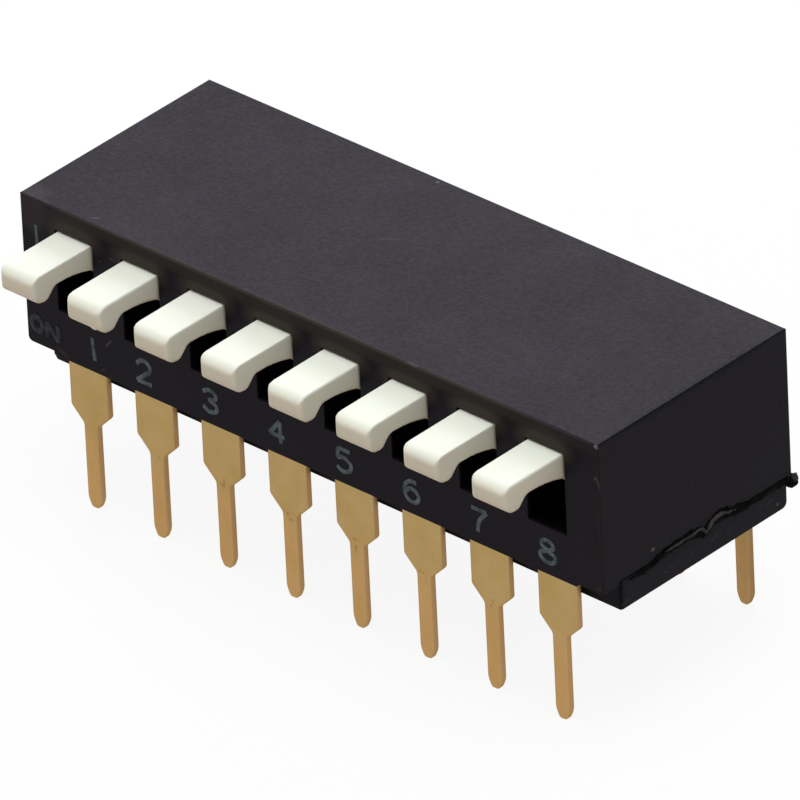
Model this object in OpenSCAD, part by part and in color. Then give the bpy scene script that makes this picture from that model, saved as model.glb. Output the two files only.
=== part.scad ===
// Piano-type DIP switch: a bank of rocking levers in one moulded case.
// Origin: middle of the terminal pattern on the underside of the base.
// +X along the row towards the last lever, +Y to the back, +Z up. Millimetres.

/* [Bank] */
// Number of levers
positions = 8; // [2:1:11]
// Spacing of the levers and terminals along the row
pitch = 2.54; // [2.4:0.01:3.6]
// Distance between the two rows of terminals, middle to middle
row_spacing = 7.62; // [7.3:0.01:10.2]
// Case beyond the outermost lever's middle, at each end
end_margin = 2.01; // [1.7:0.01:3]

/* [Case] */
// Height of the case, from its rim to its top
case_h = 4.87; // [4.6:0.01:6.2]
// Case front beyond the front terminals' outer face
case_overhang = 0.265; // [0.1:0.005:0.6]
// Case back short of the rear terminals' outer face
case_back_inset = 0.235; // [0.1:0.005:0.5]
// Thickness of the roof over the slots
roof_t = 0.76; // [0.5:0.01:1.2]
// Thickness of the front wall
front_wall_t = 0.55; // [0.4:0.01:0.7]
// Thickness of the back wall and of the cross wall
back_wall_t = 0.6; // [0.4:0.01:0.8]
// Height of a slot in the front wall
slot_h = 2.65; // [2.5:0.01:2.9]
// Radius on the case's outer edges
case_edge_r = 0.06; // [0.03:0.01:0.4]
// Radius on the lower corners at the first lever's end
rim_corner_r = 0.2; // [0.05:0.01:0.4]
// Depth of the lip that hangs in front of the terminals
lip_drop = 0.11; // [0.05:0.01:0.3]
// Lip beyond the outermost lever's middle, at each end
lip_margin = 1; // [0.8:0.01:1.4]

/* [Base] */
// Thickness of the base
base_t = 0.85; // [0.6:0.01:1.4]
// Base short of the case at the first lever's end
base_inset = 0.2; // [0:0.01:0.4]
// Radius on the base's upright corners at the first lever's end
base_first_r = 0.3; // [0.05:0.01:0.6]
// Radius on the base's upright corners at the last lever's end
base_last_r = 0.1; // [0.05:0.01:0.6]
// Radius on the base's lower front edge
base_front_r = 0.05; // [0.03:0.01:0.4]
// Radius on the base's lower back edge
base_back_r = 0.25; // [0.05:0.01:0.4]
// Height of the tongue that stands up into the case's end wall
tongue_h = 0.1; // [0.05:0.01:0.3]
// Thickness of the tongue
tongue_t = 0.35; // [0.2:0.01:0.45]
// Thickness of a bearing post
post_t = 0.3; // [0.2:0.01:0.4]
// Height of the locating lugs in the end cores
lug_h = 0.6; // [0.3:0.01:1.5]

/* [Levers] */
// Width of a lever
lever_w = 1.29; // [1:0.01:1.3]
// Reach of a lever in front of the case
lever_reach = 2.36; // [1.8:0.01:3.2]
// Height of a lever's nose
nose_h = 0.9; // [0.8:0.01:1.1]
// Length of a lever's nose, up to where its underside turns up
nose_l = 0.52; // [0.45:0.01:0.7]
// Set-back of a nose's foot from its top
nose_rake = 0.03; // [0:0.01:0.06]
// Radius on a nose's upper edge
nose_top_r = 0.28; // [0.1:0.01:0.35]
// Radius on a nose's lower edge
nose_foot_r = 0.36; // [0.1:0.01:0.4]
// Radius behind a nose's foot
nose_heel_r = 0.13; // [0.05:0.01:0.2]
// Radius on a nose's upright corners
nose_corner_r = 0.14; // [0.05:0.01:0.3]
// Thickness of the finger part behind the nose
finger_t = 0.57; // [0.5:0.01:0.75]
// Radius of the hollow under the finger part, behind the nose
hollow_r = 0.3; // [0.1:0.01:0.4]
// Thickness of the arm where it enters the case
arm_t = 0.79; // [0.75:0.01:0.95]
// Pivot behind the case's front face
pivot_setback = 2.8; // [2.7:0.01:3.2]
// Radius of the hub round the pivot
hub_r = 1.32; // [1:0.01:1.4]
// Angle below the pivot at which the arm's underside meets the hub
hub_angle = 40; // [30:1:60]
// Radius of a trunnion
trunnion_r = 0.32; // [0.25:0.01:0.4]
// Full turn of a lever, from up to down
lever_turn = 30; // [20:1:32]
// Radius of the round end of a lever's leg
leg_end_r = 0.28; // [0.2:0.01:0.32]
// Thickness of a lever's leg above its round end
leg_t = 0.36; // [0.25:0.01:0.4]
// Thickness of a lever's leg at the pivot
leg_root_t = 1; // [0.6:0.01:1.2]

/* [Contacts] */
// Width of a sliding contact
contact_w = 1.0; // [0.8:0.01:1.2]
// Sheet thickness of a sliding contact
contact_t = 0.12; // [0.08:0.01:0.15]
// Distance of the bumps from the contact's middle
bump_reach = 1.15; // [1:0.01:1.3]
// Radius of a bump
bump_r = 0.15; // [0.1:0.01:0.2]
// Width of an ear and of the opening it is lanced from
ear_w = 0.5; // [0.3:0.01:0.6]
// Height of an ear above the sheet
ear_h = 0.8; // [0.5:0.01:0.9]

/* [Terminals] */
// Sheet thickness of a terminal
terminal_t = 0.25; // [0.2:0.01:0.35]
// Inside radius of a terminal's bend
bend_r = 0.15; // [0.1:0.01:0.2]
// Space between a terminal and the base's edge
terminal_gap = 0.185; // [0.15:0.005:0.4]
// Width of a terminal's blade inside the case
blade_w = 1.1; // [0.8:0.01:1.3]
// Width of a terminal's shoulder
shoulder_w = 1.45; // [1.2:0.01:1.7]
// Width of a terminal's leg
leg_w = 0.52; // [0.4:0.01:0.9]
// Depth of the shoulder below the base's underside
shoulder_drop = 0.92; // [0.5:0.01:1.2]
// Length of the leg and shoulder below the base's underside
terminal_drop = 4.13; // [3:0.01:5.2]
// Length of the taper at the end of a leg
tip_l = 0.42; // [0.2:0.01:1]
// Width of a leg's end, under the taper
tip_w = 0.24; // [0.05:0.01:0.3]

/* [Clearances] */
// Lever to the slot's sides
lever_side_gap = 0.075; // [0.05:0.005:0.15]
// Lever to the slot's top
lever_top_gap = 0.04; // [0.02:0.01:0.1]
// Trunnion to its bearing, on the radius
trunnion_gap = 0.04; // [0.02:0.01:0.1]
// Trunnion's end and post to the notch's sides
notch_gap = 0.04; // [0.02:0.01:0.1]
// Leg end to the contact's ears
fork_gap = 0.06; // [0.03:0.01:0.1]
// Leg end to the contact's sheet, at mid travel
leg_float = 0.11; // [0.05:0.01:0.2]
// Contact bumps to the blades
contact_gap = 0.02; // [0.01:0.01:0.05]
// Contact's end to the back of its bay
bay_end_gap = 0.35; // [0.2:0.01:0.6]
// Blade under a bump, past the bump's middle
blade_margin = 0.4; // [0.25:0.01:0.45]
// Lug to the sides of its core
lug_gap = 0.06; // [0.03:0.01:0.2]
// Lip to the terminals' outer face
lip_gap = 0.06; // [0.04:0.01:0.09]
// Tongue to the sides of its recess
tongue_gap = 0.03; // [0.02:0.01:0.08]

/* [Hidden] */
$fn = 48;
cut = 0.1;
top_z = base_t + case_h;
case_l = (positions - 1) * pitch + 2 * end_margin;
terminal_face = row_spacing / 2 + terminal_t / 2;
case_front = -(terminal_face + case_overhang);
case_back = terminal_face - case_back_inset;
base_half = terminal_face - terminal_t - terminal_gap;
slot_w = lever_w + 2 * lever_side_gap;
slot_top = top_z - roof_t;
slot_bottom = slot_top - slot_h;
lever_top = slot_top - lever_top_gap;
pivot_y = case_front + pivot_setback;
pivot_z = lever_top - hub_r;
bearing_r = trunnion_r + trunnion_gap;
notch_reach = slot_w / 2 + post_t + 2 * notch_gap;
trunnion_reach = notch_reach - notch_gap;
sheet_z = base_t + contact_gap + bump_r;
leg_r = pivot_z - (sheet_z + contact_t + leg_float + leg_end_r);
contact_off_y = pivot_y - leg_r * sin(lever_turn / 2);
contact_travel = 2 * leg_r * sin(lever_turn / 2);
contact_on_y = contact_off_y + contact_travel;
contact_half = bump_reach + bump_r;
fork_half = leg_end_r + fork_gap;
front_blade_end = contact_on_y - bump_reach + blade_margin;
rear_blade_end = contact_on_y + bump_reach - blade_margin;
bay_back = contact_on_y + contact_half + bay_end_gap;
core_front = bay_back + back_wall_t;
core_back = case_back - back_wall_t;
bend_out_r = bend_r + terminal_t;
half_l = case_l / 2;
tip_steps = 6;
arm_steps = 4;

function lever_x(i) = (i - (positions + 1) / 2) * pitch;
function numbered(word) = [for (i = [1:positions]) str(word, "_", i)];
function arc(x, y, r, from, to, steps = 6) =
    [for (k = [0:steps]) [x + r * cos(from + (to - from) * k / steps),
                          y + r * sin(from + (to - from) * k / steps)]];

// A flat outline in Y and Z, given thickness w along X and centred on x = 0
module along_x(w)
    translate([-w / 2, 0, 0]) rotate([90, 0, 90]) linear_extrude(w) children();

// A flat outline in X and Z, given thickness d along Y from y
module along_y(y, d)
    translate([0, y + d, 0]) rotate([90, 0, 0]) linear_extrude(d) children();

// A rectangle from [x0, y0] to [x1, y1]. Its corners have the radii in r, where 0 is
// a sharp one: first lower left, then lower right, upper right and upper left.
module round_rect(x0, y0, x1, y1, r) {
    polygon([[x0 + r[0], y0], [x1 - r[1], y0], [x1, y0 + r[1]], [x1, y1 - r[2]],
             [x1 - r[2], y1], [x0 + r[3], y1], [x0, y1 - r[3]], [x0, y0 + r[0]]]);
    if (r[0] > 0) translate([x0 + r[0], y0 + r[0]]) circle(r[0]);
    if (r[1] > 0) translate([x1 - r[1], y0 + r[1]]) circle(r[1]);
    if (r[2] > 0) translate([x1 - r[2], y1 - r[2]]) circle(r[2]);
    if (r[3] > 0) translate([x0 + r[3], y1 - r[3]]) circle(r[3]);
}

// Outer form of the case: round upright and top edges, a sharp lower rim
module case_block() {
    r = case_edge_r;
    intersection() {
        translate([0, 0, base_t]) linear_extrude(case_h)
            round_rect(-half_l, case_front, half_l, case_back, [r, r, r, r]);
        along_x(case_l) round_rect(case_front, base_t, case_back, top_z, [0, 0, r, r]);
        along_y(case_front, case_back - case_front)
            round_rect(-half_l, base_t, half_l, top_z, [rim_corner_r, 0, r, r]);
    }
}

// Lip on the front wall that covers the top of the terminals' shoulders
module case_lip() {
    reach = lever_x(positions) + lip_margin;
    translate([-reach, case_front, base_t - lip_drop])
        cube([2 * reach, case_overhang - lip_gap, lip_drop + case_edge_r]);
}

// Room for one lever and its contact, open to the front slot and to the base
module bay() {
    floor_z = base_t - cut;
    translate([-slot_w / 2, case_front + front_wall_t, floor_z])
        cube([slot_w, bay_back - case_front - front_wall_t, slot_top - floor_z]);
    translate([-slot_w / 2, case_front - cut, slot_bottom])
        cube([slot_w, front_wall_t + 2 * cut, slot_h]);
    bearing_notch(floor_z);
    translate([-slot_w / 2, core_front, floor_z])
        cube([slot_w, core_back - core_front, slot_top - floor_z]);
}

// Notch in the partitions on both sides of a bay: a round bearing, open downwards
module bearing_notch(floor_z) {
    translate([-notch_reach, pivot_y - bearing_r, floor_z])
        cube([2 * notch_reach, 2 * bearing_r, pivot_z - floor_z]);
    translate([-notch_reach, pivot_y, pivot_z]) rotate([0, 90, 0])
        cylinder(r = bearing_r, h = 2 * notch_reach);
}

// Recess in the lower edge of the last lever's end wall, for the base's tongue
module tongue_recess()
    translate([half_l - tongue_t - tongue_gap, -base_half - tongue_gap, base_t - cut])
        cube([tongue_t + tongue_gap + cut, 2 * (base_half + tongue_gap),
              cut + tongue_h + tongue_gap]);

module case() color("#262327")
    difference() {
        union() {
            case_block();
            case_lip();
        }
        for (i = [1:positions]) translate([lever_x(i), 0, 0]) bay();
        tongue_recess();
    }

// Two posts that hold one lever's trunnions up in their notches
module bearing_posts() {
    difference() {
        for (side = [-1, 1])
            translate([side * (slot_w / 2 + notch_gap + post_t / 2), pivot_y, 0])
                translate([-post_t / 2, notch_gap - bearing_r, 0])
                    cube([post_t, 2 * (bearing_r - notch_gap), pivot_z]);
        translate([-notch_reach, pivot_y, pivot_z]) rotate([0, 90, 0])
            cylinder(r = bearing_r, h = 2 * notch_reach);
    }
}

// Lug that stands in a core, astride its blade, and keeps the case in place
module lug()
    difference() {
        translate([-slot_w / 2 + lug_gap, core_front + lug_gap, 0])
            cube([slot_w - 2 * lug_gap, core_back - core_front - 2 * lug_gap, base_t + lug_h]);
        translate([-blade_w / 2, core_front, base_t - terminal_t])
            cube([blade_w, core_back - core_front, terminal_t]);
    }

// Outline of the base from above
module base_plan()
    round_rect(base_inset - half_l, -base_half, half_l, base_half,
               [base_first_r, base_last_r, base_last_r, base_first_r]);

module base() color("#211f20") {
    difference() {
        intersection() {
            linear_extrude(base_t) base_plan();
            along_x(case_l)
                round_rect(-base_half, 0, base_half, base_t, [base_front_r, base_back_r, 0, 0]);
        }
        for (i = [1:positions]) translate([lever_x(i) - blade_w / 2, 0, base_t - terminal_t]) {
            translate([0, -base_half - cut, 0])
                cube([blade_w, front_blade_end + base_half + cut, terminal_t + cut]);
            translate([0, rear_blade_end, 0])
                cube([blade_w, base_half + cut - rear_blade_end, terminal_t + cut]);
        }
    }
    intersection() {
        translate([0, 0, base_t - cut]) linear_extrude(cut + tongue_h) base_plan();
        translate([half_l - tongue_t, -base_half, 0])
            cube([tongue_t, 2 * base_half, base_t + tongue_h]);
    }
    for (i = [1:positions]) translate([lever_x(i), 0, 0]) bearing_posts();
    for (i = [1, positions]) translate([lever_x(i), 0, 0]) lug();
}

// Side view of a lever from its nose to its hub, seen from the right:
// the nose hangs below the finger part, which thickens towards the case
module lever_side() {
    front = -lever_reach;
    heel_x = front + nose_l;
    hollow_x = heel_x + nose_h - finger_t + (nose_heel_r + hollow_r) * tan(45 / 2);
    translate([case_front, lever_top]) polygon(concat(
        [[pivot_setback, 0]],
        arc(front + nose_top_r, -nose_top_r, nose_top_r, 90, 180),
        arc(front + nose_rake + nose_foot_r, -nose_h + nose_foot_r, nose_foot_r, 180, 270),
        arc(heel_x, -nose_h + nose_heel_r, nose_heel_r, 270, 315, 3),
        arc(hollow_x, -finger_t - hollow_r, hollow_r, 135, 90, 3),
        [for (k = [1:arm_steps]) let (way = k / arm_steps)
            [hollow_x * (1 - way), -finger_t - (arm_t - finger_t) * pow(way, 2)]],
        [[pivot_setback - hub_r * cos(hub_angle), -hub_r * (1 + sin(hub_angle))],
         [pivot_setback, -hub_r]]));
    translate([pivot_y, pivot_z]) circle(hub_r);
    translate([pivot_y, pivot_z]) rotate(-lever_turn / 2) leg_side();
}

// Side view of the leg that drives the contact, pointing down from the pivot
module leg_side() {
    neck = leg_r - ear_h / 2 - contact_t;
    translate([0, -leg_r]) circle(leg_end_r);
    polygon([[-leg_root_t / 2, 0], [-leg_t / 2, -neck], [-leg_t / 2, -leg_r],
             [leg_t / 2, -leg_r], [leg_t / 2, -neck], [leg_root_t / 2, 0]]);
}

// Outline of a lever from above, longer than the lever at the back
module lever_plan() {
    r = nose_corner_r;
    round_rect(-lever_w / 2, case_front - lever_reach, lever_w / 2, case_back, [r, r, 0, 0]);
}

module lever(i) color("#f1f1e6")
    translate([lever_x(i), 0, 0]) {
        intersection() {
            along_x(lever_w) lever_side();
            linear_extrude(top_z) lever_plan();
        }
        translate([-trunnion_reach, pivot_y, pivot_z]) rotate([0, 90, 0])
            cylinder(r = trunnion_r, h = 2 * trunnion_reach);
    }

// Sliding bridge: a strip with four prongs, each with a bump, and two lanced ears
module contact(i) color("#c9a65c")
    translate([lever_x(i), contact_off_y, sheet_z]) {
        difference() {
            translate([-contact_w / 2, -contact_half, 0])
                cube([contact_w, 2 * contact_half, contact_t]);
            for (side = [0, 180]) rotate(side)
                translate([-ear_w / 2, fork_half + contact_t, -cut])
                    cube([ear_w, contact_half, contact_t + 2 * cut]);
        }
        for (side = [0, 180]) rotate(side) {
            translate([-ear_w / 2, fork_half, 0]) cube([ear_w, contact_t, ear_h + contact_t]);
            for (x = [-contact_w / 2, ear_w / 2])
                intersection() {
                    translate([x, bump_reach, 0]) rotate([0, 90, 0])
                        cylinder(r = bump_r, h = (contact_w - ear_w) / 2);
                    translate([-contact_w, 0, -bump_r])
                        cube([2 * contact_w, contact_half, bump_r]);
                }
        }
    }

// Front view of a terminal's drop: wide shoulder, slanted step, leg, curved taper
module terminal_front() {
    step = (shoulder_w - leg_w) / 2;
    right = concat(
        [[shoulder_w / 2, base_t - bend_out_r],
         [shoulder_w / 2, -shoulder_drop],
         [leg_w / 2, -shoulder_drop - step]],
        [for (k = [tip_steps:-1:0])
            [(tip_w + (leg_w - tip_w) * sin(90 * k / tip_steps)) / 2,
             tip_l * k / tip_steps - terminal_drop]]);
    polygon(concat(right, [for (k = [len(right) - 1:-1:0]) [-right[k][0], right[k][1]]]));
}

// One stamped strip: blade let into the base, bend over its edge, drop to the tip.
// Drawn for the front row, with its blade ending at y = blade_end.
module terminal(i, blade_end) color("#b39459")
    translate([lever_x(i), 0, 0]) {
        bend_y = bend_out_r - terminal_face;
        translate([-blade_w / 2, -base_half, base_t - terminal_t])
            cube([blade_w, blade_end + base_half, terminal_t]);
        translate([-shoulder_w / 2, bend_y, base_t - terminal_t])
            cube([shoulder_w, -base_half - bend_y, terminal_t]);
        along_x(shoulder_w) translate([bend_y, base_t - bend_out_r])
            intersection() {
                difference() {
                    circle(bend_out_r);
                    circle(bend_r);
                }
                translate([-bend_out_r, 0]) square(bend_out_r);
            }
        along_y(-terminal_face, terminal_t) terminal_front();
    }

module front_terminal(i) terminal(i, front_blade_end);

module rear_terminal(i) mirror([0, 1, 0]) terminal(i, -rear_blade_end);

case();
base();
for (i = [1:positions]) lever(i);
for (i = [1:positions]) contact(i);
for (i = [1:positions]) front_terminal(i);
for (i = [1:positions]) rear_terminal(i);
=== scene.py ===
"""Finish, print, weld flash and studio for a piano-type DIP switch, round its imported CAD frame."""
import math

import bpy
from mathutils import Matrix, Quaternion, Vector


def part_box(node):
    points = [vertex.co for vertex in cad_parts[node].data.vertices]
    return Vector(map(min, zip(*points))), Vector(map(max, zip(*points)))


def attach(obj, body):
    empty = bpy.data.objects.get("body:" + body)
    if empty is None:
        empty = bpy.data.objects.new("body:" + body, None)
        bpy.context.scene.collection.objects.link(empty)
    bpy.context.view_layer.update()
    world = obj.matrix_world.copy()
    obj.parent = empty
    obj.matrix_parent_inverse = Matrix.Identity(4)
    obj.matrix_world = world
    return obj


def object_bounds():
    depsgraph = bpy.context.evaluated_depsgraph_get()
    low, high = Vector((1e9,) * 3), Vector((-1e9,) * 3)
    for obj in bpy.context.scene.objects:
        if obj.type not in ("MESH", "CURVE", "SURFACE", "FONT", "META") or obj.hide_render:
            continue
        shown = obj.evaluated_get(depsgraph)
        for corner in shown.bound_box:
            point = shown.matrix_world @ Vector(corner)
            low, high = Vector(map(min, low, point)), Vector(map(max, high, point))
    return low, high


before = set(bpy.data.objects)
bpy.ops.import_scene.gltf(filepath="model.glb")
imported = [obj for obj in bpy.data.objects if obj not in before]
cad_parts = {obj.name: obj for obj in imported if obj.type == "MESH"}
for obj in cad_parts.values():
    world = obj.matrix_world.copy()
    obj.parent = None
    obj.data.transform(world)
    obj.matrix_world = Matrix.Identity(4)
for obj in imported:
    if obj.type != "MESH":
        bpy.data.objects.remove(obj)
CAD_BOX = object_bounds()

bl_info = {
    "name": "DIP Switch Finish",
    "version": (1, 0, 0),
    "blender": (4, 5, 0),
    "location": "View3D > Sidebar > DIP Switch",
    "description": "Finishes the pieces of a piano-type DIP switch and sets up its studio",
    "category": "Object",
}

MM = 0.001
WHITE = (1, 1, 1, 1)
HOUSING = "housing"
LEVERS = len([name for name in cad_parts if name.startswith("lever_")])
CASE_LOW, CASE_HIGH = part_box("case")
RIM_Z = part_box("front_terminal_1")[1].z
FIRST_LEVER_X = sum(c.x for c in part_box("lever_1")) / 2
LAST_LEVER_X = sum(c.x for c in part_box(f"lever_{LEVERS}")) / 2
PITCH = (LAST_LEVER_X - FIRST_LEVER_X) / (LEVERS - 1)
# Height of a leg's root, where it widens, above its tip
LEG_LENGTH = 2.75 * MM
ROOT_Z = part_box("front_terminal_1")[0].z + LEG_LENGTH


def linear(code):
    """A colour written as sRGB hex, as linear RGB for a shader or a property."""
    channels = [int(code[i:i + 2], 16) / 255 for i in (1, 3, 5)]
    return tuple(c / 12.92 if c <= 0.04045 else ((c + 0.055) / 1.055) ** 2.4 for c in channels)


def colour_property(name, description, code):
    return bpy.props.FloatVectorProperty(name=name, description=description, subtype="COLOR",
                                         size=3, min=0, max=1, default=linear(code))


def size_property(name, description, millimetres):
    return bpy.props.FloatProperty(name=name, description=description, subtype="DISTANCE",
                                   unit="LENGTH", min=0, default=millimetres * MM)


def angle_property(name, description, degrees):
    return bpy.props.FloatProperty(name=name, description=description, subtype="ANGLE",
                                   unit="ROTATION", default=math.radians(degrees))


def level_property(name, description, value):
    return bpy.props.FloatProperty(name=name, description=description, min=0, default=value)


class FinishSettings(bpy.types.PropertyGroup):
    """Colours, edge sizes and print sizes of the switch's pieces"""
    case_colour: colour_property("Case", "Black of the moulded case", "#141115")
    base_colour: colour_property("Base", "Black of the moulded base", "#131114")
    lever_colour: colour_property("Levers", "Ivory of the moulded levers", "#f0f5e9")
    metal_colour: colour_property("Terminals", "Face of the stamped terminals", "#b89d6d")
    contact_colour: colour_property("Contacts", "Gilt face of the sliding contacts", "#e0b860")
    ink_colour: colour_property("Print", "Ink of the digits", "#62747b")
    flash_colour: colour_property("Flash", "Plastic that was squeezed out of the weld", "#343234")
    case_edge: size_property("Case edge", "Round on the case's moulded edges", 0.02)
    base_edge: size_property("Base edge", "Round on the base's moulded edges", 0.05)
    lever_skin: size_property("Lever skin", "Mesh size of a lever's even skin", 0.03)
    lever_passes: bpy.props.IntProperty(name="Lever passes", description="Passes that soften a lever",
                                        min=0, default=6)
    metal_edge: size_property("Metal edge", "Rolled edge of stamped metal", 0.06)
    ink_width: size_property("Stroke width", "Width of a digit's stroke", 0.14)
    ink_height: size_property("Digit height", "Height of a printed digit", 0.72)


class StudioSettings(bpy.types.PropertyGroup):
    """Camera, floor and light levels of the studio"""
    azimuth: angle_property("Azimuth", "Camera's turn round the switch", 43.6585)
    elevation: angle_property("Elevation", "Camera's height above the horizon", 31.6923)
    roll: angle_property("Roll", "Camera's turn about its own axis", -2.7888)
    distance: size_property("Distance", "Camera to the middle of the view", 569.5)
    lens: bpy.props.FloatProperty(name="Lens", description="Focal length", subtype="DISTANCE_CAMERA",
                                  unit="CAMERA", default=914.24)
    floor_colour: colour_property("Floor", "Pale floor as the camera sees it", "#f7f7f7")
    bounce_colour: colour_property("Bounce", "Floor as it lights the switch from below", "#a9907a")
    floor_glow: level_property("Floor glow", "Share of the floor's white that no shadow darkens", 0.9)
    ambient: level_property("Ambient", "Level of the light from all round", 0.34)
    overhead: level_property("Overhead", "Level of the softbox above the switch", 0.685)
    behind: level_property("Behind", "Level of the low softbox behind the switch", 0.52)
    front: level_property("Front", "Level of the softbox in front of the levers", 0.135)


# Shader helpers


def add_node(tree, kind, settings=None, links=None):
    """A new node with its properties and socket values set, and its inputs linked."""
    node = tree.nodes.new(kind)
    for name, value in (settings or {}).items():
        if isinstance(name, int) or name in node.inputs:
            node.inputs[name].default_value = value
        else:
            setattr(node, name, value)
    for name, source in (links or {}).items():
        tree.links.new(source, node.inputs[name])
    return node


def new_material(name, shader_settings):
    """A material with one Principled shader; returns it with its tree and the shader."""
    material = bpy.data.materials.new(name)
    material.use_nodes = True
    tree = material.node_tree
    tree.nodes.clear()
    shader = add_node(tree, "ShaderNodeBsdfPrincipled", shader_settings)
    add_node(tree, "ShaderNodeOutputMaterial", links={"Surface": shader.outputs[0]})
    return material, tree, shader


def object_place(tree):
    """The shaded point, in the object's own coordinates."""
    return add_node(tree, "ShaderNodeTexCoord").outputs["Object"]


def opaque(colour, level=1.0):
    """A linear colour scaled by level, with the alpha that a colour socket wants."""
    return tuple(c * level for c in colour[:3]) + (1.0,)


def shade(code):
    """An sRGB hex colour for a colour socket."""
    return opaque(linear(code))


def noise(tree, place, grain_mm, detail=2.0, stretch=(1, 1, 1)):
    """Noise whose blotches are about grain_mm across, longer where stretch is above 1."""
    spaced = add_node(tree, "ShaderNodeMapping", {"Scale": [1 / s for s in stretch]}, {"Vector": place})
    return add_node(tree, "ShaderNodeTexNoise",
                    {"Scale": 0.5 / (grain_mm * MM), "Detail": detail, "Roughness": 0.55},
                    {"Vector": spaced.outputs[0]}).outputs[0]


def ranged(tree, source, low, high, to_low, to_high):
    """Source mapped from low..high to to_low..to_high and held there."""
    return add_node(tree, "ShaderNodeMapRange",
                    {"From Min": low, "From Max": high, "To Min": to_low, "To Max": to_high},
                    {"Value": source}).outputs[0]


def spread(tree, blotches, to_low, to_high):
    """Noise, nearly all of which lies from 0.3 to 0.7, mapped to to_low..to_high."""
    return ranged(tree, blotches, 0.3, 0.7, to_low, to_high)


def maths(tree, operation, first, second=0.0):
    """One Math node; each operand is a number or a socket."""
    node = add_node(tree, "ShaderNodeMath", {"operation": operation})
    for index, operand in enumerate((first, second)):
        if isinstance(operand, (int, float)):
            node.inputs[index].default_value = operand
        else:
            tree.links.new(operand, node.inputs[index])
    return node.outputs[0]


def blended(tree, share, first, second):
    """The two colours mixed by a share socket; each is a colour or a socket."""
    node = add_node(tree, "ShaderNodeMix", {"data_type": "RGBA"}, {0: share})
    for index, colour in ((6, first), (7, second)):
        if isinstance(colour, tuple):
            node.inputs[index].default_value = colour
        else:
            tree.links.new(colour, node.inputs[index])
    return node.outputs[2]


def bumped(tree, shader, height, depth_mm):
    """Bump of depth_mm for a height from 0 to 1."""
    bump = add_node(tree, "ShaderNodeBump", {"Strength": 1.0, "Distance": depth_mm * MM},
                    {"Height": height})
    tree.links.new(bump.outputs[0], shader.inputs["Normal"])


# Places and marks on the case

# A mark goes this deep into the plastic, in mm, where its width is less
LEAST_DEPTH = 0.1
# The rim's noise where it is smooth, which is the middle of the noise of a ragged rim
SMOOTH_RIM = 0.5
# A mark fades out where the distance from its middle and its rim's noise add up to this
FADE = (1.2, 1.8)
# How far in from each face of the case the painted shade of its insides begins and is full
DARK_FROM_END = (0.4 * MM, 0.6 * MM)
DARK_FROM_FRONT = (0.04 * MM, 0.16 * MM)
DARK_FROM_BACK = (0.4 * MM, 0.5 * MM)
DARK_FROM_TOP = (0.5 * MM, 0.6 * MM)


def on_face(face, across, up):
    """The point across and up on a face of the case, in mm."""
    if face == "front":
        return Vector((across * MM, CASE_LOW.y, up * MM))
    if face == "top":
        return Vector((across * MM, up * MM, CASE_HIGH.z))
    return Vector((CASE_HIGH.x, across * MM, up * MM))


def mark_mask(tree, place, rim, face, across, up, length, width, degrees):
    """1 inside an oval mark on a face of the case and 0 outside it, with sizes in mm."""
    turn = math.radians(degrees)
    deep = max(width, LEAST_DEPTH)
    turned = {"front": (0, -turn, 0), "top": (0, 0, turn), "end": (turn, 0, 0)}[face]
    size = {"front": (length, deep, width), "top": (length, width, deep),
            "end": (deep, length, width)}[face]
    local = add_node(tree, "ShaderNodeMapping",
                     {"vector_type": "TEXTURE", "Location": on_face(face, across, up),
                      "Rotation": turned, "Scale": [s / 2 * MM for s in size]}, {"Vector": place})
    away = add_node(tree, "ShaderNodeVectorMath", {"operation": "LENGTH"}, {0: local.outputs[0]})
    return ranged(tree, maths(tree, "ADD", away.outputs[1], rim), *FADE, 1, 0)


def hollowed(tree, place):
    """1 inside the case's slots and bays, where shade is painted, and 0 on its outside."""
    across, back, up = add_node(tree, "ShaderNodeSeparateXYZ", links={"Vector": place}).outputs
    inside = below(tree, maths(tree, "ABSOLUTE", across), CASE_HIGH.x, DARK_FROM_END)
    begins, full = DARK_FROM_FRONT
    for share in (ranged(tree, back, CASE_LOW.y + begins, CASE_LOW.y + full, 0, 1),
                  below(tree, back, CASE_HIGH.y, DARK_FROM_BACK),
                  below(tree, up, CASE_HIGH.z, DARK_FROM_TOP)):
        inside = maths(tree, "MULTIPLY", inside, share)
    return inside


def below(tree, source, face, dark_from):
    """0 near the face and 1 farther in than it, where the painted shade of the insides begins and is
    full.
    """
    begins, full = dark_from
    return ranged(tree, source, face - full, face - begins, 1, 0)
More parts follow.
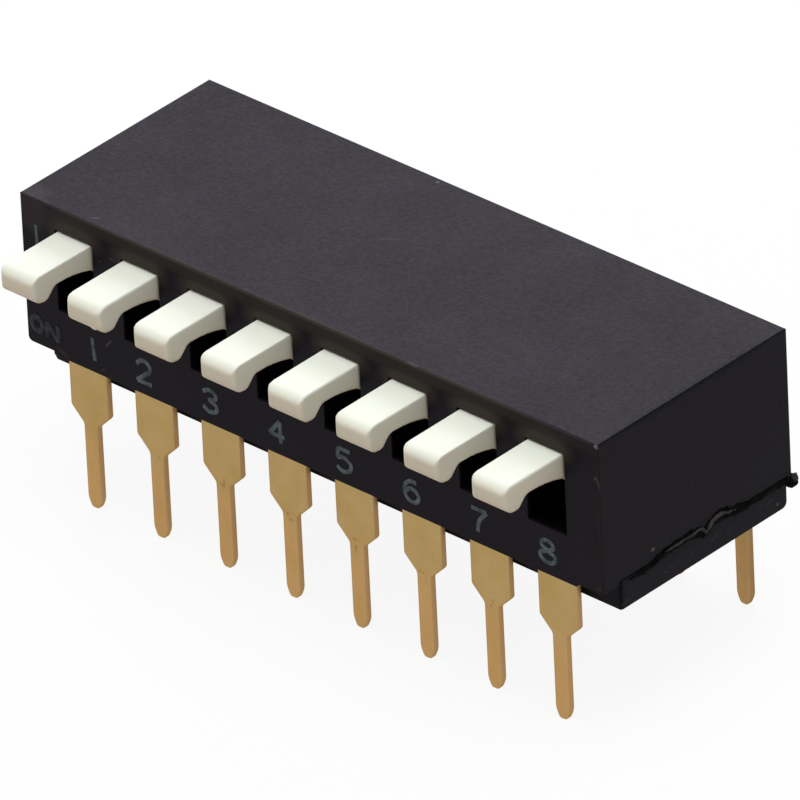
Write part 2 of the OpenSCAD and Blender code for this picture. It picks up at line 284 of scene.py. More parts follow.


# Each mark is its face, its place across and up, its length and width in mm, its turn in
# degrees, and the colour that shows. The first two are painted shade along the top's right
# edge and a painted paler strip along the front's right edge, as a rounder edge would show;
# the rest are knocks, rubs and specks. All have ragged rims.
CASE_MARKS = (
    # Painted shade: the top darkens along its right edge as a rounder edge would
    ("top", 10.88, -0.25, 8.0, 0.3, 90, "#050405"),
    # Painted light: a paler strip along the front's right edge, as a rounder edge would catch
    ("front", 10.88, 3.2, 4.9, 0.1, 90, "#252224"),
    ("top", -10.0, -4.15, 0.4, 0.12, 5, "#2a282a"),
    ("top", -8.23, -3.9, 0.3, 0.07, 38, "#3a3a3c"),
    ("top", -1.02, 0.35, 0.95, 0.06, 38, "#2c2c2e"),
    ("top", -1.99, 3.51, 0.1, 0.1, 0, "#5c5a5c"),
    ("top", 4.0, -4.17, 0.4, 0.08, 0, "#4a484a"),
    ("front", 10.84, 5.66, 0.14, 0.12, 0, "#6f6c70"),
    ("front", -7.9, 4.57, 0.16, 0.06, 20, "#353335"),
    ("front", -7.4, 4.8, 0.2, 0.07, 0, "#3b393a"),
    ("front", -7.72, 1.92, 0.34, 0.06, 50, "#48484a"),
    ("front", -9.55, 0.93, 0.5, 0.14, -20, "#2b2927"),
    ("front", -8.0, 0.95, 0.25, 0.07, 30, "#2c2a2a"),
    ("front", 10.75, 1.0, 0.2, 0.07, 0, "#302e30"),
    ("front", 10.77, 4.62, 0.16, 0.05, 75, "#4a484c"),
    ("front", 10.87, 4.46, 0.46, 0.05, -80, "#424044"),
    ("end", -2.12, 1.34, 0.15, 0.12, 0, "#5c595c"),
)
# Painted shade: a dark line along the weld seam on the last lever's end, for the shade in
# the seam's groove
WELD_SEAM_SHADE = ("end", 0, 0.9, 7.8, 0.6, 0, "#080707")
# These have smooth rims: the pale upper band of the front, a painted highlight along its top
# edge, the pale corner by the first lever, and the painted shade along the weld seam
CASE_SHADES = (
    ("front", 0, 5.5, 21.5, 0.45, 0, "#26221f"),
    # Painted highlight along the front's top edge
    ("front", 0, 5.69, 21.5, 0.13, 0, "#38332f"),
    ("front", -10.5, 5.3, 1.1, 1.4, 0, "#2c282d"),
    WELD_SEAM_SHADE,
)
# Painted light: above each lever, after its place across, the front is paler and warmer
# with the light that the ivory lever throws back on it
LEVER_BOUNCE_LIGHT = (5.0, 1.9, 0.95, 0, "#36312c")
# Painted shade on the front corner of the base's end, which also hides its rounded edge's
# highlight
BASE_SHADES = (
    ("end", -3.45, 0.45, 0.35, 1.1, 0, "#090809"),
    WELD_SEAM_SHADE,
)
BASE_MARKS = (
    ("end", 0.42, 0.5, 0.3, 0.08, 30, "#262426"),
    ("end", 1.0, 0.48, 0.2, 0.08, 30, "#221f20"),
    ("end", -0.5, 0.42, 0.6, 0.05, 30, "#1f1d1f"),
    ("end", -1.4, 0.42, 0.25, 0.06, -40, "#2c2a2c"),
    ("end", -1.62, 0.36, 0.22, 0.06, -30, "#2c2a2c"),
    ("end", 2.74, 0.5, 0.3, 0.06, 20, "#2c2a2c"),
    ("end", 3.05, 0.28, 0.12, 0.1, 0, "#4a474a"),
    ("end", -3.3, 0.2, 0.5, 0.12, 10, "#232123"),
)


# Materials

# Share of the case's black that its insides show under their painted shade
INSIDE_SHADE_SHARE = 0.05
# Heights over which a terminal turns redder towards its tip
REDDER = (-2.2 * MM, -0.9 * MM)
# Where the back row of terminals begins, and how much painted shade darkens it
BACK_ROW = (3.6 * MM, 3.7 * MM)
BACK_ROW_SHADE = 0.22
# Reach of the dents round the root of a leg: across, through and along it
DENTED = (0.2 * MM, MM, 0.3 * MM)


def moulded_black(name, colour, shades, marks, hollow=False):
    """Glass-filled PBT from a spark-eroded mould: a dull black skin with a fine even grain,
    faintly mottled where the glass shows, with soft shades, some of them painted light and shade,
    and paler where it was knocked or rubbed; a few of the marks are painted light and shade too.
    Painted shade makes the insides of a hollow piece nearly black. The grain is drawn as fine as
    still shows."""
    material, tree, shader = new_material(name, {"Specular IOR Level": 0.088,
                                                 "Specular Tint": shade("#dddbff")})
    place = object_place(tree)
    mottle = noise(tree, place, grain_mm=1.2, detail=4)
    grain = noise(tree, place, grain_mm=0.06, detail=2)
    skin = blended(tree, spread(tree, mottle, 0, 1), opaque(colour, 0.85), opaque(colour, 1.15))
    ragged = noise(tree, place, grain_mm=0.07)
    for places, rim in ((shades, SMOOTH_RIM), (marks, ragged)):
        for *where, code in places:
            skin = blended(tree, mark_mask(tree, place, rim, *where), skin, shade(code))
    if hollow:
        # Painted shade: the insides of the slots and bays are drawn nearly black
        skin = blended(tree, hollowed(tree, place), skin, opaque(colour, INSIDE_SHADE_SHARE))
    tree.links.new(skin, shader.inputs["Base Color"])
    dull = maths(tree, "ADD", spread(tree, grain, -0.04, 0.04), spread(tree, mottle, 0.53, 0.59))
    tree.links.new(dull, shader.inputs["Roughness"])
    bumped(tree, shader, grain, depth_mm=0.003)
    return material


def moulded_ivory(name, colour):
    """Acetal from a polished mould: a warm white with a soft satin gloss, through which a
    little light passes, and hardly any grain. The grain is drawn coarser than it is, so
    that it shows."""
    material, tree, shader = new_material(name, {
        "Specular IOR Level": 0.2, "Subsurface Weight": 0.15, "Subsurface Scale": 0.25 * MM,
        "Subsurface Radius": (1.0, 0.8, 0.6)})
    place = object_place(tree)
    clouding = spread(tree, noise(tree, place, grain_mm=0.9, detail=2), 0, 1)
    skin = blended(tree, clouding, opaque(colour, 0.96), opaque(colour))
    tree.links.new(skin, shader.inputs["Base Color"])
    grain = noise(tree, place, grain_mm=0.12)
    tree.links.new(spread(tree, grain, 0.36, 0.46), shader.inputs["Roughness"])
    bumped(tree, shader, grain, depth_mm=0.0035)
    return material


def stamped_metal(name, colour):
    """Gilt phosphor-bronze strip: a dull warm metal drawn along its length by the rolls,
    redder down the leg, with painted shade on the back row, small dents where the die struck
    the leg's root, and torn, duller edges where the die cut it, whose colour is painted to
    match how those sides are lit. The rolls' lines are drawn coarser than they are, so that they show."""
    material, tree, shader = new_material(name, {"Metallic": 1.0,
                                                 "Specular Tint": shade("#dcbc90")})
    coordinates = add_node(tree, "ShaderNodeTexCoord")
    place, facing = coordinates.outputs["Object"], coordinates.outputs["Normal"]
    spot = add_node(tree, "ShaderNodeSeparateXYZ", links={"Vector": place})
    rolled = noise(tree, place, grain_mm=0.07, detail=3, stretch=(1, 1, 9))
    stain = ranged(tree, noise(tree, place, grain_mm=0.5, detail=4), 0.35, 0.65, 0, 1)
    face = blended(tree, spread(tree, rolled, 0, 1), opaque(colour, 0.94), opaque(colour))
    face = blended(tree, maths(tree, "MULTIPLY", stain, 0.7), face, shade("#ad915a"))
    low = ranged(tree, spot.outputs[2], *REDDER, 1, 0)
    warm = blended(tree, stain, shade("#c09967"), shade("#ba9461"))
    face = blended(tree, maths(tree, "MULTIPLY", low, 0.8), face, warm)
    face = blended(tree, struck(tree, place, spot), face, shade("#8f6f45"))
    across = add_node(tree, "ShaderNodeSeparateXYZ", links={"Vector": facing}).outputs[0]
    # The cut sides are duller, and their colour is painted light, set for how the sides that face
    # across are lit
    sheared_and_painted_light = ranged(tree, maths(tree, "ABSOLUTE", across), 0.75, 0.95, 0, 1)
    face = blended(tree, sheared_and_painted_light, face, shade("#b7956a"))
    # Painted shade: the back row, which the base shadows, is drawn darker
    back_row_shade = ranged(tree, spot.outputs[1], *BACK_ROW, 0, BACK_ROW_SHADE)
    face = blended(tree, back_row_shade, face, opaque(colour, 0))
    tree.links.new(face, shader.inputs["Base Color"])
    rough = spread(tree, rolled, 0.42, 0.52)
    rough = maths(tree, "ADD", rough, maths(tree, "MULTIPLY", sheared_and_painted_light, 0.15))
    tree.links.new(rough, shader.inputs["Roughness"])
    bumped(tree, shader, rolled, depth_mm=0.003)
    return material


def struck(tree, place, spot):
    """1 in the small dents at the root of each leg and 0 elsewhere."""
    from_first = maths(tree, "SUBTRACT", spot.outputs[0], FIRST_LEVER_X)
    from_pin = maths(tree, "PINGPONG", from_first, PITCH / 2)
    flat = add_node(tree, "ShaderNodeCombineXYZ", links={"X": from_pin, "Z": spot.outputs[2]})
    near = add_node(tree, "ShaderNodeMapping",
                    {"vector_type": "TEXTURE", "Location": (0, 0, ROOT_Z), "Scale": DENTED},
                    {"Vector": flat.outputs[0]})
    away = add_node(tree, "ShaderNodeVectorMath", {"operation": "LENGTH"}, {0: near.outputs[0]})
    dented = ranged(tree, noise(tree, place, grain_mm=0.1, detail=2), 0.56, 0.66, 0, 0.7)
    return maths(tree, "MULTIPLY", ranged(tree, away.outputs[1], 0.6, 1, 1, 0), dented)


def printing_ink(name, colour, thin):
    """Pad-printed ink: a matt film, with only a share of its colour left where it is thin."""
    material, tree, shader = new_material(name, {"Specular IOR Level": 0.2})
    patches = noise(tree, object_place(tree), grain_mm=0.14, detail=3)
    cover = ranged(tree, patches, 0.35, 0.6, 0, 1)
    film = blended(tree, cover, opaque(colour, thin), opaque(colour))
    tree.links.new(film, shader.inputs["Base Color"])
    tree.links.new(ranged(tree, cover, 0, 1, 0.7, 0.55), shader.inputs["Roughness"])
    return material


def weld_flash(name, colour, gloss):
    """PBT that was melted and squeezed out of a joint, in the colour given: torn and smeared,
    and shinier in places, so that it catches the light unevenly. Where it is given near black
    and with no gloss, it is painted shade."""
    material, tree, shader = new_material(name, {"Specular IOR Level": gloss})
    smear = noise(tree, object_place(tree), grain_mm=0.15, detail=4)
    smeared = ranged(tree, smear, 0.35, 0.65, 0, 1)
    skin = blended(tree, smeared, opaque(colour, 0.5), opaque(colour, 1.3))
    tree.links.new(skin, shader.inputs["Base Color"])
    tree.links.new(ranged(tree, smear, 0.35, 0.65, 0.65, 0.4), shader.inputs["Roughness"])
    bumped(tree, shader, smear, depth_mm=0.02)
    return material


# Piece helpers

# Corners of a CAD node's loose triangles that are closer than this are one corner
JOIN_GAP = 0.0001 * MM
# Faces that meet at less than this are one flat face
FLAT_ANGLE = math.radians(0.6)
# Edges that turn more than this are rounded
EDGE_ANGLE = math.radians(35)
# Share of a softened lever's triangles that is kept
KEPT_TRIANGLES = 0.35


def select_only(*objects):
    bpy.ops.object.select_all(action="DESELECT")
    for item in objects:
        item.select_set(True)
    bpy.context.view_layer.objects.active = objects[0]


def paint(item, material):
    """The material in every slot of the object."""
    if not item.material_slots:
        item.data.materials.append(material)
    for each in item.material_slots:
        each.material = material


def keep(piece, material, body=HOUSING):
    """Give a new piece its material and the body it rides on."""
    paint(piece, material)
    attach(piece, body)


def join_corners(node):
    """A live modifier that joins a CAD node's loose triangles."""
    weld = node.modifiers.new("join", "WELD")
    weld.merge_threshold = JOIN_GAP


def round_edges(node, width):
    """Live modifiers that round a CAD node's edges."""
    join_corners(node)
    flats = node.modifiers.new("flats", "DECIMATE")
    flats.decimate_type = "DISSOLVE"
    flats.angle_limit = FLAT_ANGLE
    edges = node.modifiers.new("edges", "BEVEL")
    edges.width = width
    edges.segments = 2
    edges.limit_method = "ANGLE"
    edges.angle_limit = EDGE_ANGLE
    edges.use_clamp_overlap = False
    edges.miter_outer = "MITER_ARC"
    shading = node.modifiers.new("shading", "WEIGHTED_NORMAL")
    shading.weight = 100


def soften(node, skin, passes):
    """Live modifiers that give a CAD node one even skin and soften all its edges alike."""
    join_corners(node)
    even = node.modifiers.new("even", "REMESH")
    even.mode = "VOXEL"
    even.voxel_size = skin
    even.use_smooth_shade = True
    relax = node.modifiers.new("soften", "SMOOTH")
    relax.factor = 0.5
    relax.iterations = passes
    thin = node.modifiers.new("thin", "DECIMATE")
    thin.ratio = KEPT_TRIANGLES


def numbered_nodes(word):
    return [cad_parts[f"{word}_{i}"] for i in range(1, LEVERS + 1)]


def roughen(piece, offset, seed):
    """Move each corner of a new piece a little, at random but the same each time."""
    select_only(piece)
    bpy.ops.object.mode_set(mode="EDIT")
    bpy.ops.mesh.select_all(action="SELECT")
    bpy.ops.transform.vertex_random(offset=offset, uniform=1.0, seed=seed)
    bpy.ops.object.mode_set(mode="OBJECT")


def lay_bead(name, routes, width):
    """A round bead laid along routes on a face and half sunk in it. A route's point is
    (place, share of the width)."""
    bpy.ops.object.select_all(action="DESELECT")
    bpy.ops.object.add(type="CURVE")
    bead = bpy.context.object
    bead.name = name
    bead.data.dimensions = "3D"
    bead.data.bevel_depth = width / 2
    bead.data.bevel_resolution = 2
    bead.data.use_fill_caps = True
    bead.data.resolution_u = 6
    for route in routes:
        spline = bead.data.splines.new("BEZIER")
        spline.bezier_points.add(len(route) - 1)
        for point, (place, share) in zip(spline.bezier_points, route):
            point.co = place
            point.radius = share
            point.handle_left_type = point.handle_right_type = "AUTO"
    bpy.ops.object.convert(target="MESH")
    return bpy.context.object


def flatten(bead, face, share):
    """Squash a bead onto the face it lies on, to a share of its height."""
    axis = {"front": 1, "top": 2, "end": 0}[face]
    level = on_face(face, 0, 0)[axis]
    scale = Vector((1, 1, 1))
    scale[axis] = share
    bead.scale = scale
    shift = Vector((0, 0, 0))
    shift[axis] = level * (1 - share)
    bead.location = shift
    bpy.ops.object.transform_apply(location=True, rotation=False, scale=True)


def add_lump(name, centre, size, rough, seed):
    """A knobbly lump of plastic, with its centre, size and roughness in mm."""
    bpy.ops.object.select_all(action="DESELECT")
    bpy.ops.mesh.primitive_ico_sphere_add(subdivisions=4, radius=0.5)
    lump = bpy.context.object
    lump.name = name
    lump.scale = Vector(size) * MM
    lump.location = Vector(centre) * MM
    bpy.ops.object.transform_apply(location=True, rotation=False, scale=True)
    roughen(lump, rough * MM, seed)
    bpy.ops.object.mode_set(mode="EDIT")
    bpy.ops.mesh.vertices_smooth(factor=0.5, repeat=2)
    bpy.ops.object.mode_set(mode="OBJECT")
    bpy.ops.object.shade_smooth()
    return lump


# Moulded and stamped pieces


class SWITCH_OT_finish_case(bpy.types.Operator):
    """Round the case's edges and give it its moulded black skin"""
    bl_idname = "dip_switch.finish_case"
    bl_label = "Finish Case"

    def execute(self, context):
        settings = context.scene.switch_finish
        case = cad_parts["case"]
        round_edges(case, settings.case_edge)
        # Painted light above each lever, from the light that the ivory levers throw back on the front
        above = tuple(("front", (FIRST_LEVER_X + i * PITCH) / MM, *LEVER_BOUNCE_LIGHT)
                      for i in range(LEVERS))
        paint(case, moulded_black("moulded_pbt_case", settings.case_colour, above + CASE_SHADES,
                                  CASE_MARKS, hollow=True))
        return {"FINISHED"}


class SWITCH_OT_finish_base(bpy.types.Operator):
    """Round the base's edges and give it its moulded black skin"""
    bl_idname = "dip_switch.finish_base"
    bl_label = "Finish Base"

    def execute(self, context):
        settings = context.scene.switch_finish
        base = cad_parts["base"]
        round_edges(base, settings.base_edge)
        paint(base, moulded_black("moulded_pbt_base", settings.base_colour, BASE_SHADES,
                                  BASE_MARKS))
        return {"FINISHED"}


class SWITCH_OT_finish_levers(bpy.types.Operator):
    """Soften the levers' edges, give them their ivory skin and raise a nib on the second"""
    bl_idname = "dip_switch.finish_levers"
    bl_label = "Finish Levers"

    # The nib under the second lever's nose: how far aside of the lever's middle, its place
    # back and up, its size and its roughness, in mm
    NIB_ASIDE, NIB_BACK, NIB_UP = 0.35, -6.45, 4.2
    NIB_SIZE = (0.24, 0.13, 0.14)
    NIB_ROUGH = 0.02

    def execute(self, context):
        settings = context.scene.switch_finish
        ivory = moulded_ivory("moulded_acetal_lever", settings.lever_colour)
        for lever in numbered_nodes("lever"):
            soften(lever, settings.lever_skin, settings.lever_passes)
            paint(lever, ivory)
        nib_x = FIRST_LEVER_X / MM + PITCH / MM + self.NIB_ASIDE
        nib = add_lump("lever_2_nib", (nib_x, self.NIB_BACK, self.NIB_UP), self.NIB_SIZE,
                       self.NIB_ROUGH, seed=7)
        keep(nib, ivory, "lever_2")
        return {"FINISHED"}


class SWITCH_OT_finish_terminals(bpy.types.Operator):
    """Roll the edges of the stamped terminals and give them their metal"""
    bl_idname = "dip_switch.finish_terminals"
    bl_label = "Finish Terminals"

    def execute(self, context):
        settings = context.scene.switch_finish
        bronze = stamped_metal("gilt_phosphor_bronze", settings.metal_colour)
        for terminal in numbered_nodes("front_terminal") + numbered_nodes("rear_terminal"):
            round_edges(terminal, settings.metal_edge)
            paint(terminal, bronze)
        return {"FINISHED"}


class SWITCH_OT_finish_contacts(bpy.types.Operator):
    """Give the sliding contacts inside the case their gilt metal"""
    bl_idname = "dip_switch.finish_contacts"
    bl_label = "Finish Contacts"

    def execute(self, context):
        settings = context.scene.switch_finish
        gilt = stamped_metal("gilt_contact_strip", settings.contact_colour)
        for contact in numbered_nodes("contact"):
            paint(contact, gilt)
        return {"FINISHED"}


# Print

# Share of a round stroke's height that a printed one keeps
FILM = 0.2
# Each sign's strokes, in a cell 1 wide and 1 high from its lower left. A stroke passes its
# points smoothly, and a sharp corner is where two strokes meet.
STROKES = {
    "1": [[(0.44, 1), (0.56, 0)]],
    "2": [[(0.03, 0.78), (0.5, 1), (0.95, 0.72), (0.55, 0.36), (0, 0)], [(0, 0), (1, 0)]],
    "3": [[(0.03, 0.85), (0.48, 1), (0.9, 0.77), (0.4, 0.54)],
          [(0.4, 0.54), (0.95, 0.28), (0.48, 0), (0, 0.16)]],
    "4": [[(0.72, 0), (0.72, 1)], [(0.72, 1), (0, 0.3)], [(0, 0.3), (1, 0.3)]],
    "5": [[(0.92, 1), (0.12, 1)], [(0.12, 1), (0.06, 0.55)],
          [(0.06, 0.55), (0.5, 0.64), (0.97, 0.33), (0.48, 0), (0, 0.14)]],
    "6": [[(0.85, 0.94), (0.35, 0.9), (0.03, 0.35), (0.5, 0), (0.97, 0.3), (0.5, 0.6),
           (0.05, 0.38)]],
    "7": [[(0, 1), (1, 1)], [(1, 1), (0.5, 0.5), (0.36, 0)]],
    "8": [[(0.5, 0.55), (0.1, 0.77), (0.5, 1), (0.9, 0.77), (0.5, 0.55), (0, 0.27), (0.5, 0),
           (1, 0.27), (0.5, 0.55)]],
    "O": [[(0.5, 1), (0, 0.5), (0.5, 0), (1, 0.5), (0.5, 1)]],
    "N": [[(0, 0), (0, 1)], [(0, 1), (1, 0)], [(1, 0), (1, 1)]],
    "line": [[(0.45, 1), (0.55, 0)]],
}


def draw_sign(sign, centre_x, centre_z, width, height, stroke):
    """One printed sign as flattened round strokes, standing on the case's front face."""
    routes = []
    for points in STROKES[sign]:
        routes.append([(on_face("front", centre_x / MM + (across - 0.5) * width / MM,
                                centre_z / MM + (up - 0.5) * height / MM), 1.0)
                       for across, up in points])
    drawn = lay_bead("printed_sign", routes, stroke)
    flatten(drawn, "front", FILM)
    return drawn


class SWITCH_OT_print_front(bpy.types.Operator):
    """Print the digits, the word ON and its line on the case's front"""
    bl_idname = "dip_switch.print_front"
    bl_label = "Print Front"

    # A digit's width, the height of its middle above the rim, and how far it stands from
    # its lever's middle towards the first one; the digit 1 stands farther the other way
    DIGIT_WIDTH = 0.56 * MM
    DIGIT_RISE = 0.65 * MM
    DIGIT_SHIFT = 0.04 * MM
    FIRST_SHIFT = 0.61 * MM
    # The letters of ON and their places across and up, in mm
    LETTERS = (("O", -10.48, 1.55), ("N", -9.88, 1.48))
    # Width, height and stroke of a letter and of the line, and the line's place
    LETTER_SIZE = (0.42 * MM, 0.52 * MM, 0.19 * MM)
    LINE_SIZE = (0.5 * MM, 0.9 * MM, 0.12 * MM)
    LINE_PLACE = (-10.31 * MM, 4.4 * MM)

    def execute(self, context):
        settings = context.scene.switch_finish
        digit_size = (self.DIGIT_WIDTH, settings.ink_height, settings.ink_width)
        ink = printing_ink("pad_printed_ink", settings.ink_colour, thin=0.4)
        for i in range(1, LEVERS + 1):
            x = FIRST_LEVER_X + (i - 1) * PITCH - self.DIGIT_SHIFT
            if i == 1:
                x += self.FIRST_SHIFT
            digit = draw_sign(str(i), x, RIM_Z + self.DIGIT_RISE, *digit_size)
            digit.name = f"printed_digit_{i}"
            keep(digit, ink)
        faint = printing_ink("worn_ink", linear("#262d36"), thin=0.1)
        letters = [draw_sign(sign, x * MM, z * MM, *self.LETTER_SIZE)
                   for sign, x, z in self.LETTERS]
        select_only(*letters)
        bpy.ops.object.join()
        letters[0].name = "printed_on"
        keep(letters[0], faint)
        line = draw_sign("line", *self.LINE_PLACE, *self.LINE_SIZE)
        line.name = "printed_line"
        keep(line, printing_ink("thin_ink", opaque(settings.ink_colour, 0.75), thin=0.5))
        return {"FINISHED"}


# Weld


class SWITCH_OT_squeeze_flash(bpy.types.Operator):
    """Lay the melted seam in painted shade, its bead, and the nub of flash with a painted highlight, on
    the last lever's end
    """
    bl_idname = "dip_switch.squeeze_flash"
    bl_label = "Squeeze Flash"

    # The routes of the seam and its bead on the end: across and up in mm, and the share of
    # the full width
    SEAM = ((-3.15, 0.86, 0.1), (-2.9, 0.84, 0.4), (-2.65, 0.86, 0.7), (-2.3, 0.87, 0.9),
            (-1.7, 1.0, 1.1), (-1.0, 1.03, 1.1), (-0.4, 1.02, 1.1), (0.05, 0.88, 1.2),
            (0.3, 1.02, 1.3), (0.67, 1.1, 1.4), (1.22, 0.96, 1.2), (2.0, 0.88, 1),
            (2.7, 0.87, 0.8), (3.3, 0.87, 0.8), (3.6, 0.8, 0.7))
    BEAD = ((-1.65, 1.02, 0.4), (-0.93, 1.03, 0.7), (-0.51, 1.02, 0.8), (-0.13, 1.03, 0.7),
            (0.1, 0.85, 1), (0.29, 1.04, 1.1), (0.67, 1.13, 1), (1.0, 1.03, 0.7),
            (1.35, 0.95, 0.3))
    # Width and roughness in mm, and the share of its height that is left: the seam lies
    # nearly flat, and the bead stands out of it
    SEAM_WIDTH, SEAM_ROUGH, SEAM_FLAT = 0.28, 0.045, 0.08
    BEAD_WIDTH, BEAD_ROUGH, BEAD_FLAT = 0.14, 0.02, 0.6
    # The nub at the back corner of the rim, drawn in painted shade, and the paler lump on its
    # top that is a painted highlight: place from that corner and size, in mm
    NUB_PLACE, NUB_SIZE = (-0.08, 0.06, -0.17), (0.3, 0.42, 0.42)
    TIP_PLACE, TIP_SIZE = (-0.02, 0.1, -0.06), (0.2, 0.24, 0.24)
    NUB_ROUGH = 0.08

    def execute(self, context):
        settings = context.scene.switch_finish
        melt = self.lay("weld_melt", self.SEAM, self.SEAM_WIDTH, self.SEAM_ROUGH, seed=3)
        flatten(melt, "end", self.SEAM_FLAT)
        # Painted shade: the seam's near-black, unglossy skin stands for the shade in its groove and
        # beside the bead, on real melted plastic
        painted_shade_melt = weld_flash("melted_pbt_painted_shade", opaque(settings.flash_colour, 0.12), gloss=0.01)
        keep(melt, painted_shade_melt)
        squeezed = weld_flash("squeezed_pbt_bead", settings.flash_colour, gloss=0.12)
        bead = self.lay("weld_bead", self.BEAD, self.BEAD_WIDTH, self.BEAD_ROUGH, seed=5)
        flatten(bead, "end", self.BEAD_FLAT)
        keep(bead, squeezed)
        corner = Vector((CASE_HIGH.x, CASE_HIGH.y, RIM_Z)) / MM
        # The nub's body is drawn in the same painted shade, for its shaded underside
        nub = add_lump("weld_nub", corner + Vector(self.NUB_PLACE), self.NUB_SIZE,
                       self.NUB_ROUGH, seed=11)
        keep(nub, painted_shade_melt)
        # Painted highlight: a paler, glossier lump on the nub's top, where it catches the light
        tip = add_lump("weld_nub_painted_highlight", corner + Vector(self.TIP_PLACE), self.TIP_SIZE,
                       self.NUB_ROUGH, seed=13)
        keep(tip, squeezed)
        return {"FINISHED"}

    def lay(self, name, points, width, rough, seed):
        """A roughened bead along points on the end, with its width and roughness in mm."""
        route = [(on_face("end", y, z), share) for y, z, share in points]
        bead = lay_bead(name, [route], width * MM)
        roughen(bead, rough * MM, seed)
        return bead


# Studio


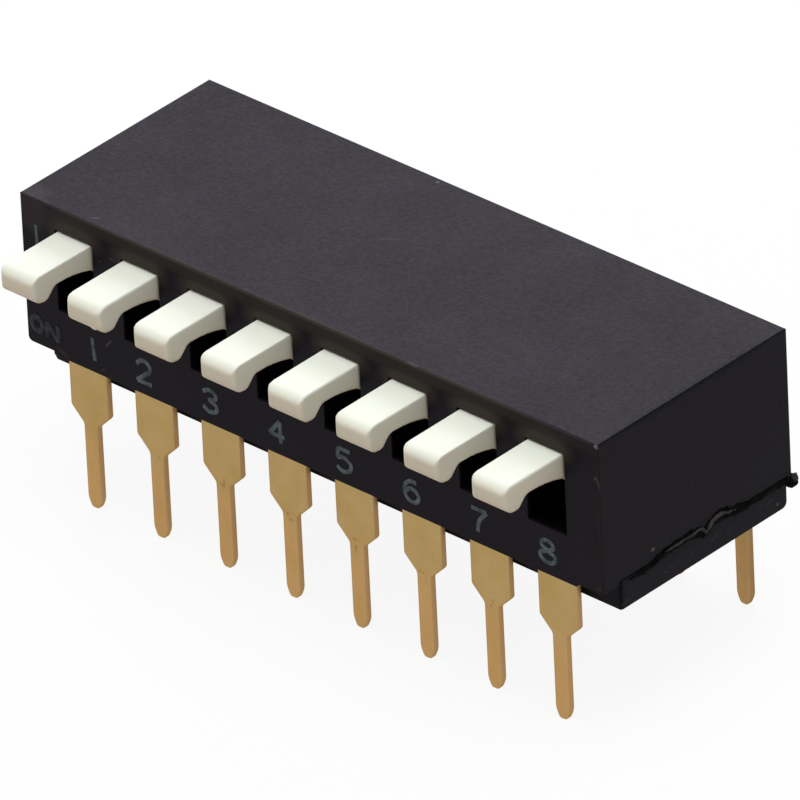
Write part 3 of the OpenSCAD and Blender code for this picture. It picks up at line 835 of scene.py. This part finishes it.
class SWITCH_OT_stage_studio(bpy.types.Operator):
    """Lay the floor and set up the softboxes, the surrounding light and the camera"""
    bl_idname = "dip_switch.stage_studio"
    bl_label = "Stage Studio"

    # Width of the floor, and how far the camera sees, in metres
    FLOOR_SIZE = 3
    FARTHEST = 10
    # The middle of the view
    AIM = Vector((0.107, -0.649, 1.34)) * MM
    # The light from all round is a little warm, as off pale walls
    AMBIENT_COLOUR = (1, 0.965, 0.935)
    # Each softbox: its turn round the switch and its height in degrees, its distance and
    # size in metres, and its colour
    SOFTBOXES = (
        ("overhead", 60, 78, 0.4, 0.3, (1, 1, 1)),
        ("behind", 223, 20, 0.45, 0.3, (0.95, 0.91, 1)),
        ("front", -30, 35, 0.45, 0.3, (1, 0.92, 0.83)),
    )

    def execute(self, context):
        studio = context.scene.switch_studio
        self.lay_floor(studio)
        self.light_surroundings(studio)
        for name, azimuth, elevation, *lamp in self.SOFTBOXES:
            away = self.direction(math.radians(azimuth), math.radians(elevation))
            self.hang_softbox(name, away, getattr(studio, name), *lamp)
        self.place_camera(studio)
        context.scene.view_settings.view_transform = "Standard"
        return {"FINISHED"}

    def direction(self, turn, rise):
        """The direction that is turned round the switch from its front, and raised."""
        return Vector((math.sin(turn) * math.cos(rise), -math.cos(turn) * math.cos(rise),
                       math.sin(rise)))

    def seen_plainly(self, tree):
        """1 for a ray from the camera or off a shiny or clear surface, and 0 for a bounce."""
        path = add_node(tree, "ShaderNodeLightPath")
        seen = maths(tree, "MAXIMUM", path.outputs["Is Camera Ray"], path.outputs["Is Glossy Ray"])
        return maths(tree, "MAXIMUM", seen, path.outputs["Is Transmission Ray"])

    def lay_floor(self, studio):
        bpy.ops.object.select_all(action="DESELECT")
        bpy.ops.mesh.primitive_plane_add(size=self.FLOOR_SIZE, location=(0, 0, CAD_BOX[0].z))
        floor = bpy.context.object
        floor.name = "studio_floor"
        bpy.ops.object.transform_apply(location=True)
        paint(floor, self.pale_paper(studio))

    def pale_paper(self, studio):
        """A roll of matt paper, which the camera sees nearly white, with a faint shadow."""
        material, tree, shader = new_material("pale_paper_floor", {
            "Roughness": 0.95, "Specular IOR Level": 0.0, "Emission Color": WHITE})
        seen = self.seen_plainly(tree)
        tone = blended(tree, seen, opaque(studio.bounce_colour),
                       opaque(studio.floor_colour, 1 - studio.floor_glow))
        tree.links.new(tone, shader.inputs["Base Color"])
        glow = maths(tree, "MULTIPLY", seen, studio.floor_glow)
        tree.links.new(glow, shader.inputs["Emission Strength"])
        return material

    def light_surroundings(self, studio):
        world = bpy.data.worlds.new("studio_surroundings")
        world.use_nodes = True
        tree = world.node_tree
        tree.nodes.clear()
        seen = self.seen_plainly(tree)
        level = ranged(tree, seen, 0, 1, studio.ambient, 1)
        tone = blended(tree, seen, opaque(self.AMBIENT_COLOUR), WHITE)
        glow = add_node(tree, "ShaderNodeBackground", links={"Color": tone, "Strength": level})
        add_node(tree, "ShaderNodeOutputWorld", links={"Surface": glow.outputs[0]})
        bpy.context.scene.world = world

    def hang_softbox(self, name, away, level, distance, size, colour):
        """A square softbox that lights a white card facing it to the given level."""
        bpy.ops.object.light_add(type="AREA")
        lamp = bpy.context.object
        lamp.name = f"softbox_{name}"
        lamp.location = away * distance
        lamp.rotation_euler = away.to_track_quat("Z", "Y").to_euler()
        lamp.data.size = size
        lamp.data.energy = level * (math.pi * distance) ** 2
        lamp.data.color = colour
        lamp.visible_camera = False

    def place_camera(self, studio):
        bpy.ops.object.camera_add()
        camera = bpy.context.object
        camera.name = "studio_camera"
        away = self.direction(studio.azimuth, studio.elevation)
        upright = away.to_track_quat("Z", "Y")
        camera.rotation_mode = "QUATERNION"
        camera.rotation_quaternion = upright @ Quaternion((0, 0, 1), studio.roll)
        camera.location = self.AIM + away * studio.distance
        camera.data.lens = studio.lens
        camera.data.clip_end = self.FARTHEST
        bpy.context.scene.camera = camera


STEPS = (SWITCH_OT_finish_case, SWITCH_OT_finish_base, SWITCH_OT_finish_levers,
         SWITCH_OT_finish_terminals, SWITCH_OT_finish_contacts, SWITCH_OT_print_front,
         SWITCH_OT_squeeze_flash, SWITCH_OT_stage_studio)


class SWITCH_PT_sidebar(bpy.types.Panel):
    """Lists the steps that finish the switch, with their sizes and colours"""
    bl_idname = "SWITCH_PT_sidebar"
    bl_label = "DIP Switch"
    bl_space_type = "VIEW_3D"
    bl_region_type = "UI"
    bl_category = "DIP Switch"

    def draw(self, context):
        for step in STEPS:
            self.layout.operator(step.bl_idname)
        for settings in (context.scene.switch_finish, context.scene.switch_studio):
            for name in settings.__annotations__:
                self.layout.prop(settings, name)


CLASSES = (FinishSettings, StudioSettings, *STEPS, SWITCH_PT_sidebar)


def register():
    for each in CLASSES:
        bpy.utils.register_class(each)
    bpy.types.Scene.switch_finish = bpy.props.PointerProperty(type=FinishSettings)
    bpy.types.Scene.switch_studio = bpy.props.PointerProperty(type=StudioSettings)


def unregister():
    del bpy.types.Scene.switch_studio
    del bpy.types.Scene.switch_finish
    for each in reversed(CLASSES):
        bpy.utils.unregister_class(each)


def main():
    register()
    bpy.ops.dip_switch.finish_case()
    bpy.ops.dip_switch.finish_base()
    bpy.ops.dip_switch.finish_levers()
    bpy.ops.dip_switch.finish_terminals()
    bpy.ops.dip_switch.finish_contacts()
    bpy.ops.dip_switch.print_front()
    bpy.ops.dip_switch.squeeze_flash()
    bpy.ops.dip_switch.stage_studio()


if __name__ == "__main__":
    main()
